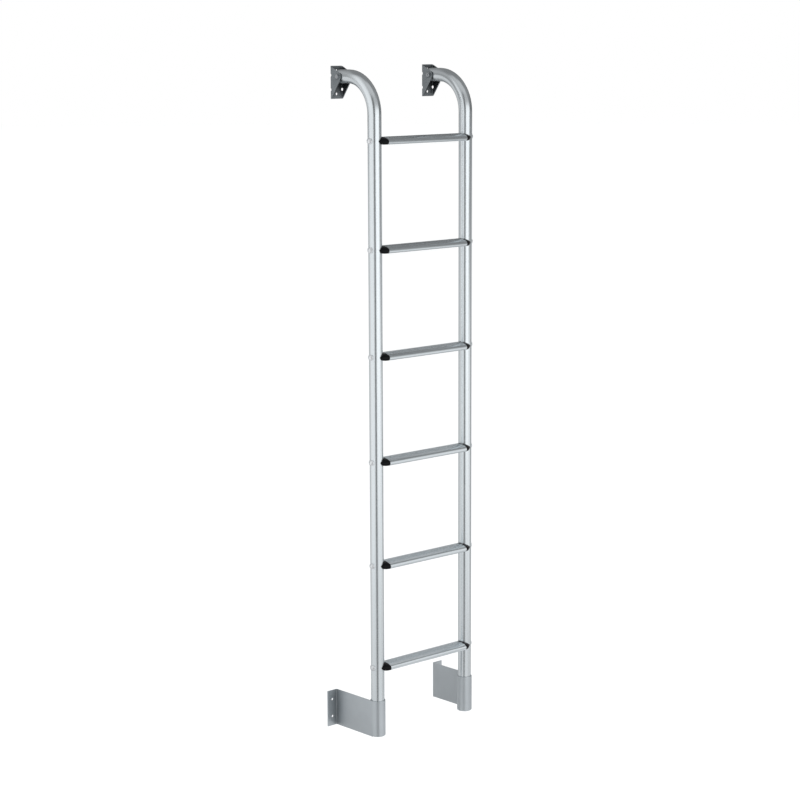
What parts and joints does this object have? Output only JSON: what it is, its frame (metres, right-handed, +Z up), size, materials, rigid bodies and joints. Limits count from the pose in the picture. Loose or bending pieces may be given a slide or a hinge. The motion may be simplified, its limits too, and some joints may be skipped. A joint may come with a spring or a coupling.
{
  "type": "vehicle ladder",
  "caption": "Wall-mounted vehicle ladder: bent tube stiles, flat grooved steps with black end caps, socket brackets at the foot and swivelling clevis brackets at the top.",
  "frame": {"origin": "wall face of the left lower bracket's flange, midway between its two holes", "axes": "+X along the steps towards the right stile, +Y towards the vehicle, +Z up along the stiles"},
  "size_m": [0.429, 0.1805, 1.781],
  "materials": {
    "tube_aluminium": "silver anodised tube, satin",
    "step_aluminium": "silver anodised extrusion, satin, finely drawn along its length",
    "cap_plastic": "black moulded plastic, half matt",
    "screw_steel": "pale zinc plated",
    "washer_steel": "pale zinc plated",
    "foot_aluminium": "silver-grey, satin",
    "sheet_steel": "silver-grey coated sheet, half matt",
    "bolt_steel": "zinc plated"
  },
  "bodies": {
    "root": {"left_stile": "tube_aluminium", "right_stile": "tube_aluminium", "step_1": "step_aluminium", "step_2": "step_aluminium", "step_3": "step_aluminium", "step_4": "step_aluminium", "step_5": "step_aluminium", "step_6": "step_aluminium", "step_cap_left_1": "cap_plastic", "step_cap_left_2": "cap_plastic", "step_cap_left_3": "cap_plastic", "step_cap_left_4": "cap_plastic", "step_cap_left_5": "cap_plastic", "step_cap_left_6": "cap_plastic", "step_cap_right_1": "cap_plastic", "step_cap_right_2": "cap_plastic", "step_cap_right_3": "cap_plastic", "step_cap_right_4": "cap_plastic", "step_cap_right_5": "cap_plastic", "step_cap_right_6": "cap_plastic", "left_step_screws": "screw_steel", "right_step_screws": "screw_steel", "left_step_washers": "washer_steel", "right_step_washers": "washer_steel", "left_lower_bracket": "foot_aluminium", "right_lower_bracket": "foot_aluminium"},
    "left_top_swivel": {"left_top_bracket": "sheet_steel", "left_pivot_bolt": "bolt_steel", "left_pivot_washers": "bolt_steel", "left_pivot_nut": "bolt_steel"},
    "right_top_swivel": {"right_top_bracket": "sheet_steel", "right_pivot_bolt": "bolt_steel", "right_pivot_washers": "bolt_steel", "right_pivot_nut": "bolt_steel"}
  },
  "joints": [
    {"name": "left_bracket_pivot", "type": "hinge", "parent": "root", "child": "left_top_swivel", "pos_m": [0.035, -0.031, 1.704], "axis": [1, 0, 0], "range_deg": [-80, 90]},
    {"name": "right_bracket_pivot", "type": "hinge", "parent": "root", "child": "right_top_swivel", "pos_m": [0.359, -0.031, 1.704], "axis": [1, 0, 0], "range_deg": [-80, 90]}
  ]
}
